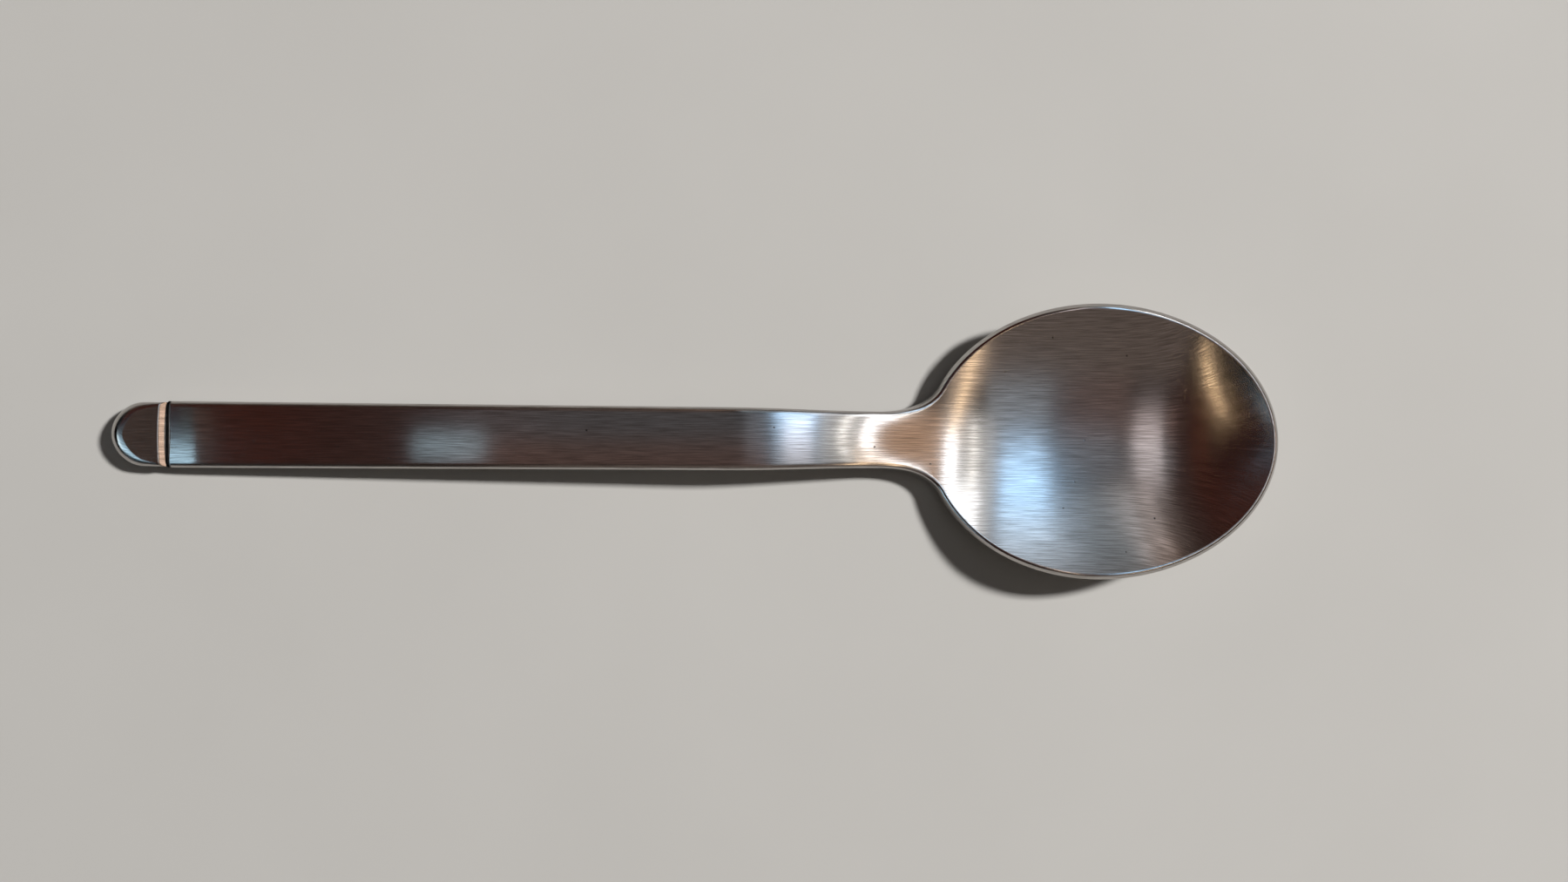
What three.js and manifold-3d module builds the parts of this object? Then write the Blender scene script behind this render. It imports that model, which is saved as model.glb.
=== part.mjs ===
// Teaspoon in satin brushed steel, lying on its underside at z = 0.
// The handle end is at -X, the bowl tip at +X, and every size is in millimetres.
// Bowl, neck and handle are one forged blank. The rounded end of the handle is a separate cap,
// located by two dowel pins. The chamfers of the two pieces make the V groove across the handle.
import * as THREE from "three";
import { mergeVertices } from "three/addons/utils/BufferGeometryUtils.js";
import Module from "manifold-3d";

const wasm = await Module();
wasm.setup();

// Whole spoon.
const OVERALL_LENGTH = 138;

// Bowl.
const BOWL_WIDTH = 32.2;
const BOWL_TIP_LENGTH = 20.9; // from the widest line to the tip
const BOWL_HEEL_LENGTH = 19.8; // from the widest line back to where its ellipse would close
const BOWL_WALL = 1.05;
const BOWL_SIDE_RISE = 6.4; // from the middle line up to the rim, at the widest line
const BOWL_TIP_RISE = 7.1; // from the floor up to the rim at the tip
const BOWL_TIP_SLOPE = 0.64;
const BOWL_TIP_BEND = 0.011; // curvature of the middle line, per millimetre
const BOWL_FLOOR_BEND = 0.017;
const FLOOR_SETBACK = 6.6; // the floor lies this far behind the widest line
const RIM_UPPER_RADIUS = 0.3;
const RIM_LOWER_RADIUS = 0.25;

// Neck, with its places measured back from the widest line of the bowl.
const NECK_WIDTH = 6.7;
const NECK_THICKNESS = 2.5;
const NECK_SETBACK = 25.8; // narrowest line
const THROAT_SETBACK = 21.6; // steepest line
const THROAT_HEIGHT = 3.15;
const THROAT_SLOPE = -0.28;
const FLARE_ANGLE = 66; // degrees round the bowl's ellipse where the neck's flare meets it
const FLARE_REACH = 4.2; // the flare runs on from the neck this far before it turns outwards
const FLARE_RETURN = 2.2; // and comes to the bowl's edge along this length of it
const HOLLOW_RUN = 7; // the bowl's cross hollow grows from the neck over this length
const THINNING_RUN = 16.2; // the metal thins from neck to bowl over this length
const EDGE_LEAD = 4; // the edges sharpen from this far behind the neck
const EDGE_RUN = 18;

// Handle.
const CREST_SETBACK = 41.6; // highest line of the handle, behind the widest line of the bowl
const CREST_HEIGHT = 6.1;
const CREST_BEND = -0.025;
const SHANK_SETBACK = 43.1; // where the straight sides end, behind the widest line of the bowl
const SHANK_WIDTH = 7.4;
const RAMP_SETBACK = 54.1; // where the handle's straight rise ends, behind the bowl's widest line
const RAMP_HEIGHT = 5.56;
const HANDLE_WIDTH = 7.95; // at the groove
const WAIST_LEAD = 6; // how far the narrowing at the neck runs straight at either end
const HANDLE_CROWN = 0.34; // fall of the top face from its middle to its sides
const CROWN_FADE = 6; // the crown dies out over this length either side of the neck
const HANDLE_UPPER_RADIUS = 0.8;
const HANDLE_LOWER_RADIUS = 1;
const END_THICKNESS = 2.9;
const REST_LENGTH = 5; // flat underside that rests on the table, ahead of the groove
const ROLL_LENGTH = 4.2; // the top face rolls down to the groove over this length
const ROLL_DEPTH = 0.3;

// End cap, its groove and its pins.
const CAP_LENGTH = 7; // from the middle of the joint to the nose
const CAP_WIDTH = 7.65;
const CAP_CROWN = 0.12; // flatter than the handle, so the groove's edge runs nearly straight across
const CAP_UPPER_RADIUS = 0.5; // at the groove
const NOSE_LENGTH = 4.2; // rounded part of the cap
const NOSE_UPPER_RADIUS = 2;
const NOSE_LOWER_RADIUS = 0.8;
const GROOVE_DEPTH = 0.76;
const JOINT_GAP = 0.1;
const DOWEL_DIAMETER = 1.2;
const DOWEL_LENGTH = 6;
const DOWEL_SPACING = 4;
const DOWEL_CHAMFER = 0.15;
const DOWEL_CLEARANCE = 0.05;
const DOWEL_END_CLEARANCE = 0.2;

// Fineness of the faceted surfaces: stations along an edge, columns across, steps round a corner.
const BODY_MESH = { handle: 16, waist: 8, flare: 10, heel: 10, tip: 18, columns: 8, arcSteps: 3 };
const CAP_MESH = { side: 3, nose: 12, columns: 6, arcSteps: 4 };
const PIN_SIDES = 20;
const DRILL_LEAD = 0.5; // a hole's cutter starts this far outside the face
const BOWL_SPINE = 0.5; // share of the tip length that the bowl's middle line takes up
const NOSE_SPINE = 0.3;

// Stations along the spoon, from the sizes above.
const xTip = OVERALL_LENGTH / 2;
const xBowl = xTip - BOWL_TIP_LENGTH;
const xFloor = xBowl - FLOOR_SETBACK;
const xThroat = xBowl - THROAT_SETBACK;
const xNeck = xBowl - NECK_SETBACK;
const xShank = xBowl - SHANK_SETBACK;
const xCrest = xBowl - CREST_SETBACK;
const xRamp = xBowl - RAMP_SETBACK;
const xJoint = CAP_LENGTH - xTip;
const rampSlope = (RAMP_HEIGHT - END_THICKNESS) / (xRamp - xJoint);
const xBodyEnd = xJoint + JOINT_GAP / 2;
const xRest = xJoint + REST_LENGTH;

const { lerp, smoothstep, degToRad } = THREE.MathUtils;

/** Height on a quintic stretch between two stations that give height, slope and bend. */
function stretchHeight(from, to, x) {
  const run = to.x - from.x;
  const s = (x - from.x) / run;
  const [s2, s3, s4, s5] = [s ** 2, s ** 3, s ** 4, s ** 5];
  return (
    from.z * (1 - 10 * s3 + 15 * s4 - 6 * s5) +
    run * from.slope * (s - 6 * s3 + 8 * s4 - 3 * s5) +
    run * run * from.bend * (0.5 * s2 - 1.5 * s3 + 1.5 * s4 - 0.5 * s5) +
    run * run * to.bend * (0.5 * s3 - s4 + 0.5 * s5) +
    run * to.slope * (-4 * s3 + 7 * s4 - 3 * s5) +
    to.z * (10 * s3 - 15 * s4 + 6 * s5)
  );
}

// Middle line of the top face: the handle's straight rise from the joint, the crest, the fall of the neck,
// the bowl's floor and the climb to its tip.
const middleLine = [
  { x: xJoint, z: END_THICKNESS, slope: rampSlope, bend: 0 },
  { x: xRamp, z: RAMP_HEIGHT, slope: rampSlope, bend: 0 },
  { x: xCrest, z: CREST_HEIGHT, slope: 0, bend: CREST_BEND },
  { x: xThroat, z: THROAT_HEIGHT, slope: THROAT_SLOPE, bend: 0 },
  { x: xFloor, z: BOWL_WALL, slope: 0, bend: BOWL_FLOOR_BEND },
  { x: xTip, z: BOWL_WALL + BOWL_TIP_RISE, slope: BOWL_TIP_SLOPE, bend: BOWL_TIP_BEND },
];

/** Height of the middle line at x. */
function middleHeight(x) {
  if (x <= xJoint) return END_THICKNESS;
  const next = middleLine.findIndex((station) => station.x >= Math.min(x, xTip));
  return stretchHeight(middleLine[next - 1], middleLine[next], x);
}

/** Cross curvature of the top: none on the handle, the bowl's hollow ahead of the neck. */
function hollow(x) {
  const full = BOWL_SIDE_RISE / (BOWL_WIDTH / 2) ** 2;
  return full * smoothstep(x, xNeck, xNeck + HOLLOW_RUN);
}

/** How far the edges have gone from the handle's radii at 0 to the rim's at 1. */
const sharpness = (x) => smoothstep(x, xNeck - EDGE_LEAD, xNeck - EDGE_LEAD + EDGE_RUN);

/** Upward unit normal of a height function, by small differences. */
function surfaceNormal(height, x, y) {
  const h = 0.01;
  const slopeX = (height(x + h, y) - height(x - h, y)) / (2 * h);
  const slopeY = (height(x, y + h) - height(x, y - h)) / (2 * h);
  return new THREE.Vector3(-slopeX, -slopeY, 1).normalize();
}

const plumb = new THREE.Vector3(0, 0, 1);
const bodyBase = (x, y) => middleHeight(x) + hollow(x) * y * y;

// A skin gives a piece's top, the direction its thickness is measured in, that thickness and its edge
// radii at each place in plan. On the handle, which hardly slopes, thickness is measured straight down.
const bodySkin = {
  base: bodyBase,
  up: (x, y) => (x <= xCrest ? plumb : surfaceNormal(bodyBase, x, y)),
  crown: (x, y) => {
    const onHandle = 1 - smoothstep(x, xNeck - CROWN_FADE, xNeck + CROWN_FADE);
    const roll = Math.max(0, 1 - (x - xBodyEnd) / ROLL_LENGTH);
    return HANDLE_CROWN * onHandle * ((2 * y) / HANDLE_WIDTH) ** 2 + ROLL_DEPTH * roll ** 2;
  },
  thickness: (x) => {
    if (x <= xRest) return middleHeight(x); // the underside is flat here
    const bar = lerp(middleHeight(xRest), NECK_THICKNESS, smoothstep(x, xRest, xCrest));
    return lerp(bar, BOWL_WALL, smoothstep(x, xNeck, xNeck + THINNING_RUN));
  },
  upperRadius: (x) => lerp(HANDLE_UPPER_RADIUS, RIM_UPPER_RADIUS, sharpness(x)),
  lowerRadius: (x) => lerp(HANDLE_LOWER_RADIUS, RIM_LOWER_RADIUS, sharpness(x)),
};

// The cap is drawn from the joint outwards along its own +X and turned to point along -X.
const capTip = CAP_LENGTH - JOINT_GAP / 2;
const capNoseStart = capTip - NOSE_LENGTH;
const capSkin = {
  base: () => END_THICKNESS,
  up: () => plumb,
  crown: (x, y) => CAP_CROWN * ((2 * y) / CAP_WIDTH) ** 2,
  thickness: () => END_THICKNESS,
  upperRadius: (x) => lerp(CAP_UPPER_RADIUS, NOSE_UPPER_RADIUS, smoothstep(x, 0, capTip)),
  lowerRadius: (x) => lerp(HANDLE_LOWER_RADIUS, NOSE_LOWER_RADIUS, smoothstep(x, 0, capTip)),
};

/** Samples a plan curve into edge points with outward normals and the spine points they hang on. */
function edgeStations(curve, count, spineAt) {
  return Array.from({ length: count }, (_, i) => {
    const u = (i + 1) / count;
    const edge = curve.getPoint(u);
    const along = curve.getTangent(u);
    return { edge, normal: new THREE.Vector2(-along.y, along.x), spine: spineAt(edge.x, u) };
  });
}

/** Plan of the body's left half, from the handle end round to the bowl tip. */
function bodyPlan() {
  const end = new THREE.Vector2(xBodyEnd, HANDLE_WIDTH / 2);
  const shank = new THREE.Vector2(xShank, SHANK_WIDTH / 2);
  const neck = new THREE.Vector2(xNeck, NECK_WIDTH / 2);
  const taper = shank.clone().sub(end).normalize();
  const handle = new THREE.LineCurve(end, shank);
  const waist = new THREE.CubicBezierCurve(
    shank,
    shank.clone().addScaledVector(taper, WAIST_LEAD),
    new THREE.Vector2(neck.x - WAIST_LEAD, neck.y),
    neck,
  );
  const angle = degToRad(FLARE_ANGLE);
  const half = BOWL_WIDTH / 2;
  const meet = new THREE.Vector2(xBowl - BOWL_HEEL_LENGTH * Math.sin(angle), half * Math.cos(angle));
  const arrival = new THREE.Vector2(BOWL_HEEL_LENGTH * Math.cos(angle), half * Math.sin(angle));
  const flare = new THREE.CubicBezierCurve(
    neck,
    new THREE.Vector2(neck.x + FLARE_REACH, neck.y),
    meet.clone().sub(arrival.setLength(FLARE_RETURN)),
    meet,
  );
  const side = Math.PI / 2;
  const heel = new THREE.EllipseCurve(xBowl, 0, BOWL_HEEL_LENGTH, half, side + angle, side, true);
  const tip = new THREE.EllipseCurve(xBowl, 0, BOWL_TIP_LENGTH, half, side, 0, true);
  const below = (x) => x;
  return [
    { edge: end, normal: new THREE.Vector2(0, 1), spine: end.x },
    ...edgeStations(handle, BODY_MESH.handle, below),
    ...edgeStations(waist, BODY_MESH.waist, below),
    ...edgeStations(flare, BODY_MESH.flare, below),
    ...edgeStations(heel, BODY_MESH.heel, below),
    ...edgeStations(tip, BODY_MESH.tip, (x, u) => xBowl + BOWL_SPINE * BOWL_TIP_LENGTH * u),
  ];
}

/** Plan of the cap's half, from the joint out to the nose. */
function capPlan() {
  const half = CAP_WIDTH / 2;
  const root = new THREE.Vector2(0, half);
  const side = new THREE.LineCurve(root, new THREE.Vector2(capNoseStart, half));
  const nose = new THREE.EllipseCurve(capNoseStart, 0, NOSE_LENGTH, half, Math.PI / 2, 0, true);
  return [
    { edge: root, normal: new THREE.Vector2(0, 1), spine: 0 },
    ...edgeStations(side, CAP_MESH.side, (x) => x),
    ...edgeStations(nose, CAP_MESH.nose, (x, u) => capNoseStart + NOSE_SPINE * NOSE_LENGTH * u),
  ];
}

/** Corner points of a quarter turn about a centre, from one direction to another, both ends left out or in. */
function quarterTurn(centre, radius, from, to, steps) {
  return steps.map((share) => {
    const a = (share * Math.PI) / 2;
    return centre
      .clone()
      .addScaledVector(from, radius * Math.cos(a))
      .addScaledVector(to, radius * Math.sin(a));
  });
}

/** Points of one half section: top from the spine out, the rounded edge, the underside back in. */
function halfSection(skin, { edge, normal, spine }, { columns, arcSteps }) {
  const upper = skin.upperRadius(edge.x);
  const lower = skin.lowerRadius(edge.x);
  const top = (x, y) => skin.base(x, y) - skin.crown(x, y);
  const outward = new THREE.Vector3(normal.x, normal.y, 0);
  const along = new THREE.Vector3(normal.y, -normal.x, 0);
  const frameAt = (x, y) => {
    const up = skin.up(x, y).clone();
    const lateral = along.clone().addScaledVector(up, -along.dot(up));
    return { up, out: up.clone().cross(lateral).normalize() };
  };

  // The lower corner is the outermost line, so the upper corner is set in from the plan.
  const first = frameAt(edge.x, edge.y);
  const wall = skin.thickness(edge.x) - skin.crown(edge.x, edge.y);
  const reach = first.out.dot(outward);
  const inset = lower * (1 - reach) - first.up.dot(outward) * (wall - lower) + upper * reach;
  const rimX = edge.x - normal.x * inset;
  const rimY = Math.max(0, edge.y - normal.y * inset);
  const rim = new THREE.Vector3(rimX, rimY, top(rimX, rimY));
  const { up, out } = frameAt(rimX, rimY);
  const down = up.clone().negate();
  const rimWall = skin.thickness(rimX) - skin.crown(rimX, rimY) * up.z;
  const footX = rimX + out.x * (upper - lower);
  const footY = rimY + out.y * (upper - lower);

  const shares = Array.from({ length: columns + 1 }, (_, j) => Math.sin(((j / columns) * Math.PI) / 2));
  const topPoints = shares.map((r) => {
    const x = lerp(spine, rimX, r);
    return new THREE.Vector3(x, rimY * r, top(x, rimY * r));
  });
  const underPoints = shares.map((r) => {
    const x = lerp(spine, footX, r);
    const point = new THREE.Vector3(x, footY * r, skin.base(x, footY * r));
    return point.addScaledVector(skin.up(x, footY * r), -skin.thickness(x));
  });
  const upperCentre = rim.clone().addScaledVector(down, upper);
  const lowerCentre = rim
    .clone()
    .addScaledVector(down, rimWall - lower)
    .addScaledVector(out, upper - lower);
  const turns = Array.from({ length: arcSteps }, (_, k) => k / arcSteps);
  return [
    ...topPoints,
    ...quarterTurn(upperCentre, upper, up, out, turns.map((share) => share + 1 / arcSteps)),
    ...quarterTurn(lowerCentre, lower, out, down, turns),
    ...underPoints.reverse(),
  ];
}

/** Closed body from half sections, mirrored in the plane y = 0 and closed by a flat end face. */
function loft(skin, plan, mesh) {
  const rows = plan.map((station) => halfSection(skin, station, mesh));
  for (const point of rows[rows.length - 1]) point.y = 0;
  const positions = [];
  const push = (...corners) => corners.forEach((p) => positions.push(p.x, p.y, p.z));
  const mirror = (p) => new THREE.Vector3(p.x, -p.y, p.z);
  for (let i = 0; i + 1 < rows.length; i++) {
    for (let j = 0; j + 1 < rows[i].length; j++) {
      const [a, b, c, d] = [rows[i][j], rows[i + 1][j], rows[i + 1][j + 1], rows[i][j + 1]];
      push(a, b, c, a, c, d);
      push(mirror(a), mirror(c), mirror(b), mirror(a), mirror(d), mirror(c));
    }
  }
  const ring = [...rows[0], ...rows[0].slice(1, -1).reverse().map(mirror)];
  for (let k = 1; k + 1 < ring.length; k++) push(ring[0], ring[k], ring[k + 1]);
  const geometry = new THREE.BufferGeometry();
  geometry.setAttribute("position", new THREE.Float32BufferAttribute(positions, 3));
  return geometry;
}

/** A three.js geometry as a solid that can be cut. */
function solidFrom(geometry) {
  const flat = geometry.index ? geometry.toNonIndexed() : geometry;
  const bare = new THREE.BufferGeometry();
  bare.setAttribute("position", flat.getAttribute("position"));
  const merged = mergeVertices(bare, 1e-4);
  const corners = [...merged.index.array];
  const triangles = Array.from({ length: corners.length / 3 }, (_, k) => corners.slice(3 * k, 3 * k + 3));
  const open = triangles.filter((triangle) => new Set(triangle).size === 3);
  return new wasm.Manifold(
    new wasm.Mesh({
      numProp: 3,
      vertProperties: merged.getAttribute("position").array,
      triVerts: new Uint32Array(open.flat()),
    }),
  );
}

/** A cut solid back as a three.js geometry. */
function geometryFrom(solid) {
  const mesh = solid.getMesh();
  const geometry = new THREE.BufferGeometry();
  geometry.setAttribute("position", new THREE.Float32BufferAttribute(mesh.vertProperties, 3));
  geometry.setIndex([...mesh.triVerts]);
  geometry.computeVertexNormals();
  return geometry;
}

// The pins lie halfway up the butt face that is left below the groove, one either side of the middle.
const grooveRoot = END_THICKNESS - GROOVE_DEPTH;
const dowelHeight = grooveRoot / 2;
const dowelSides = { dowel_pin_left: DOWEL_SPACING / 2, dowel_pin_right: -DOWEL_SPACING / 2 };

/** A blind pin hole that opens in the end face at x and runs along +X. */
function dowelHole(xFace, y) {
  const radius = DOWEL_DIAMETER / 2 + DOWEL_CLEARANCE;
  const depth = DOWEL_LENGTH / 2 + DOWEL_END_CLEARANCE;
  const drill = new THREE.CylinderGeometry(radius, radius, depth + DRILL_LEAD, PIN_SIDES);
  drill.rotateZ(Math.PI / 2);
  drill.translate(xFace + (depth - DRILL_LEAD) / 2, y, dowelHeight);
  return solidFrom(drill);
}

/** Cuts the groove's 45 degree chamfer and the pin holes into a piece's end face at x. */
function machineEnd(geometry, xFace) {
  const chamfered = solidFrom(geometry).trimByPlane([1, 0, -1], (xFace - grooveRoot) / Math.SQRT2);
  const holes = Object.values(dowelSides).map((y) => dowelHole(xFace, y));
  return geometryFrom(holes.reduce((piece, hole) => piece.subtract(hole), chamfered));
}

const satinSteel = new THREE.MeshStandardMaterial({ color: 0xa39d98, roughness: 0.34, metalness: 1 });
const capSteel = new THREE.MeshStandardMaterial({ color: 0x9a928c, roughness: 0.3, metalness: 1 });
const pinSteel = new THREE.MeshStandardMaterial({ color: 0x8c8e90, roughness: 0.45, metalness: 1 });

const spoon = new THREE.Group();
spoon.name = "teaspoon";

const body = new THREE.Mesh(machineEnd(loft(bodySkin, bodyPlan(), BODY_MESH), xBodyEnd), satinSteel);
body.name = "spoon_body";
spoon.add(body);

const cap = new THREE.Mesh(machineEnd(loft(capSkin, capPlan(), CAP_MESH), 0), capSteel);
cap.name = "end_cap";
cap.rotation.z = Math.PI;
cap.position.x = xJoint - JOINT_GAP / 2;
spoon.add(cap);

/** A pin turned about its axis, with both ends chamfered. */
function dowelPin() {
  const radius = DOWEL_DIAMETER / 2;
  const half = DOWEL_LENGTH / 2;
  const profile = [
    new THREE.Vector2(0, -half),
    new THREE.Vector2(radius - DOWEL_CHAMFER, -half),
    new THREE.Vector2(radius, DOWEL_CHAMFER - half),
    new THREE.Vector2(radius, half - DOWEL_CHAMFER),
    new THREE.Vector2(radius - DOWEL_CHAMFER, half),
    new THREE.Vector2(0, half),
  ];
  return geometryFrom(solidFrom(new THREE.LatheGeometry(profile, PIN_SIDES)));
}

for (const [name, y] of Object.entries(dowelSides)) {
  const pin = new THREE.Mesh(dowelPin(), pinSteel);
  pin.name = name;
  pin.rotation.z = Math.PI / 2;
  pin.position.set(xJoint, y, dowelHeight);
  spoon.add(pin);
}

export default spoon;
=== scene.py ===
"""Satin steel teaspoon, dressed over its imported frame.

The spoon lies on its underside with the handle end at -X and the bowl tip at +X. The forged body and
the end cap are lofted afresh as smooth skins from the sizes of the part, and the pins that join them
are turned. Sizes are in millimetres and the meshes are in metres, in the frame's own place.
"""

import logging
import math
from dataclasses import dataclass, field
from enum import Enum

import bmesh
import bpy
import numpy as np
from mathutils import Matrix, Vector


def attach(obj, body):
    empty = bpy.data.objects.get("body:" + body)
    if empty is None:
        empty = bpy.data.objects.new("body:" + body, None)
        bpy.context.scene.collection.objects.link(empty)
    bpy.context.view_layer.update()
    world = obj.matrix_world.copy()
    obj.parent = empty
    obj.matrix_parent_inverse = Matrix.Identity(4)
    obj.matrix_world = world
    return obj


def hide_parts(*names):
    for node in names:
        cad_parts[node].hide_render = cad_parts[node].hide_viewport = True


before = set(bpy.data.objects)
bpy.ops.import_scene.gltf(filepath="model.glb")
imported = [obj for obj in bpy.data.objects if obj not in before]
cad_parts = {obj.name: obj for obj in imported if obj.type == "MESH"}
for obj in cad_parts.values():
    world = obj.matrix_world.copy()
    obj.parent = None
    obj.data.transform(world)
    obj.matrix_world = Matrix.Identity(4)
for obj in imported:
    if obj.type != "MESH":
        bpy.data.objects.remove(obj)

MM = 0.001
UV_NAME = "girth"
SHARP_EDGE = 32.0  # degrees between faces above which an edge is shown sharp
SLOPE_STEP = 0.01  # millimetres to either side over which a slope is measured
MIX_FIRST, MIX_SECOND, MIX_RESULT = 6, 7, 2  # numbers of a mix node's colour sockets
log = logging.getLogger("teaspoon")

Array = np.ndarray | float
Plan = tuple[Array, Array, Array]  # edge points, outward normals and their places on the spine
Mesh = bmesh.types.BMesh
Vert = bmesh.types.BMVert
Pair = tuple[float, float]
Girths = dict[Vert, Pair]  # girth and length at each vertex
Object = bpy.types.Object
Tree = bpy.types.NodeTree
Socket = bpy.types.NodeSocket


class Slot(Enum):
    """Names of the material slots, one for each kind of piece."""

    BODY = "satin_steel"
    CAP = "cap_steel"
    PIN = "pin_steel"


def linear(hex_colour: str) -> tuple[float, float, float, float]:
    """Turns an sRGB hex colour into linear light.

    Args:
        hex_colour: six hex digits, red first.

    Returns:
        Linear red, green and blue, and an alpha of one.
    """
    levels = [int(hex_colour[i : i + 2], 16) / 255 for i in (0, 2, 4)]
    light = [v / 12.92 if v <= 0.04045 else ((v + 0.055) / 1.055) ** 2.4 for v in levels]
    return light[0], light[1], light[2], 1.0


def between(a: Array, b: Array, share: Array) -> Array:
    """What lies at a share of the way from a to b."""
    return a + (b - a) * share


def smoothstep(low: float, high: float, x: Array) -> Array:
    """Eases from 0 at low to 1 at high."""
    s = np.clip((np.asarray(x, float) - low) / (high - low), 0.0, 1.0)
    return s * s * (3 - 2 * s)


def soft_least(a: Array, b: Array, blend: float) -> Array:
    """The lesser of two heights, with the corner between them eased.

    Args:
        a: first heights.
        b: second heights.
        blend: difference of heights over which the corner is rounded.

    Returns:
        The eased lesser heights.
    """
    near = np.maximum(blend - np.abs(a - b), 0.0) / blend
    return np.minimum(a, b) - near * near * blend / 4


def node(tree: Tree, kind: str, settings: dict, inputs: dict) -> bpy.types.Node:
    """Adds a node with its settings and links.

    Args:
        tree: the tree that it goes in.
        kind: type of node.
        settings: properties of the node by name.
        inputs: what each input gets, by name or number: a socket to link or a plain value.

    Returns:
        The new node.
    """
    made = tree.nodes.new(kind)
    for name, value in settings.items():
        setattr(made, name, value)
    for key, value in inputs.items():
        if isinstance(value, Socket):
            tree.links.new(value, made.inputs[key])
        else:
            made.inputs[key].default_value = value
    return made


def mixed(tree: Tree, share: Socket, first: Socket | tuple, second: Socket | tuple) -> Socket:
    """Adds a mix of two colours.

    Args:
        tree: the tree that it goes in.
        share: share of the second colour.
        first: colour where the share is 0, a socket or plain linear light.
        second: colour where the share is 1.

    Returns:
        The mixed colour.
    """
    inputs = {"Factor": share, MIX_FIRST: first, MIX_SECOND: second}
    return node(tree, "ShaderNodeMix", {"data_type": "RGBA"}, inputs).outputs[MIX_RESULT]


def added(tree: Tree, base: Socket, factor: float, value: Socket) -> Socket:
    """Adds a multiple of one value to another.

    Args:
        tree: the tree that the node goes in.
        base: value that is added to.
        factor: how many times the other value is added.
        value: the other value.

    Returns:
        The sum.
    """
    inputs = {0: value, 1: factor, 2: base}
    return node(tree, "ShaderNodeMath", {"operation": "MULTIPLY_ADD"}, inputs).outputs[0]


def ranged(tree: Tree, value: Socket, levels: Pair, results: Pair = (0.0, 1.0)) -> Socket:
    """Turns a value between two levels into one between two results, and no further.

    Args:
        tree: the tree that the node goes in.
        value: what is turned.
        levels: levels of the value at which the results are reached.
        results: what the first and the second level give.

    Returns:
        The value between the results.
    """
    ends = zip(("From Min", "From Max", "To Min", "To Max"), (*levels, *results))
    inputs = {"Value": value, **dict(ends)}
    return node(tree, "ShaderNodeMapRange", {"clamp": True}, inputs).outputs["Result"]


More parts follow.
